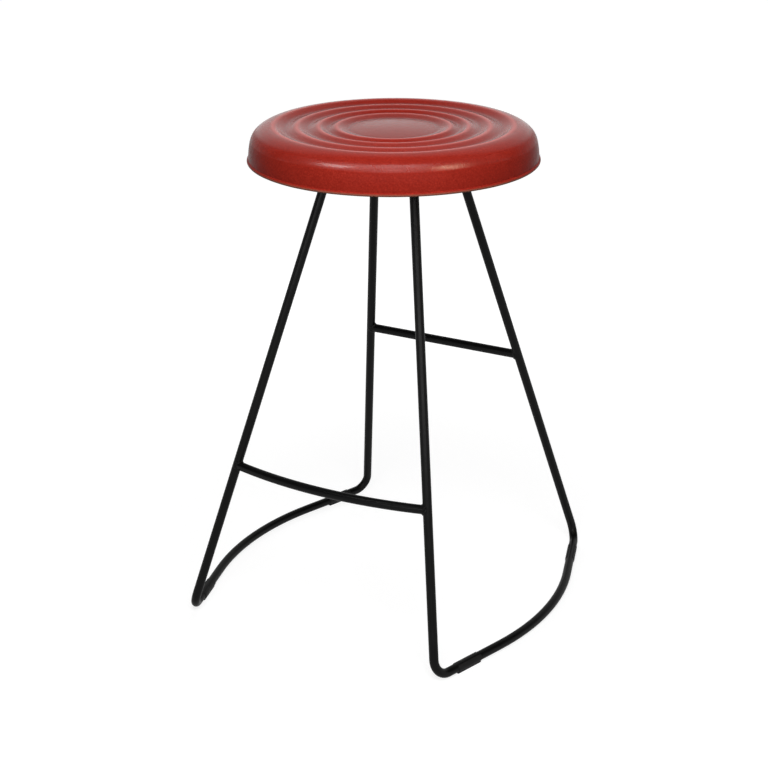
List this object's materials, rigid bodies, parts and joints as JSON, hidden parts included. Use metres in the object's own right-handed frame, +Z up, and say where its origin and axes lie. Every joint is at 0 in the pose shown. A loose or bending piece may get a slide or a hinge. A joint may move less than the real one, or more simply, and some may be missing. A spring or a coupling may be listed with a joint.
{
  "type": "counter stool",
  "caption": "Counter stool with a round ringed red seat on a black bent-rod frame with bowed floor runners, a bowed footrest and a straight rear stretcher.",
  "frame": {"origin": "on the floor, under the seat's axis, at the middle of the footprint", "axes": "+Z up along the seat's axis, -Y to the front where the low footrest is, +X to the right as seen from the front"},
  "size_m": [0.4842, 0.4612, 0.652],
  "materials": {
    "frame_coat": "satin black powder coat on steel rod and plate",
    "seat_skin": "red moulded skin with a fine leather grain, satin",
    "plywood": "raw plywood",
    "zinc_steel": "bright zinc plate",
    "glide_plastic": "matte black plastic"
  },
  "bodies": {
    "root": {"footrest": "frame_coat", "footrest_weld_left": "frame_coat", "footrest_weld_right": "frame_coat", "front_left_glide": "glide_plastic", "front_left_leg_weld": "frame_coat", "front_right_glide": "glide_plastic", "front_right_leg_weld": "frame_coat", "left_side_frame": "frame_coat", "mounting_plate": "frame_coat", "mounting_screws": "zinc_steel", "rear_left_glide": "glide_plastic", "rear_left_leg_weld": "frame_coat", "rear_right_glide": "glide_plastic", "rear_right_leg_weld": "frame_coat", "rear_stretcher": "frame_coat", "right_side_frame": "frame_coat", "screw_washers": "zinc_steel", "seat_board": "plywood", "seat_cushion": "seat_skin", "stretcher_weld_left": "frame_coat", "stretcher_weld_right": "frame_coat", "tee_nuts": "zinc_steel"}
  },
  "joints": []
}
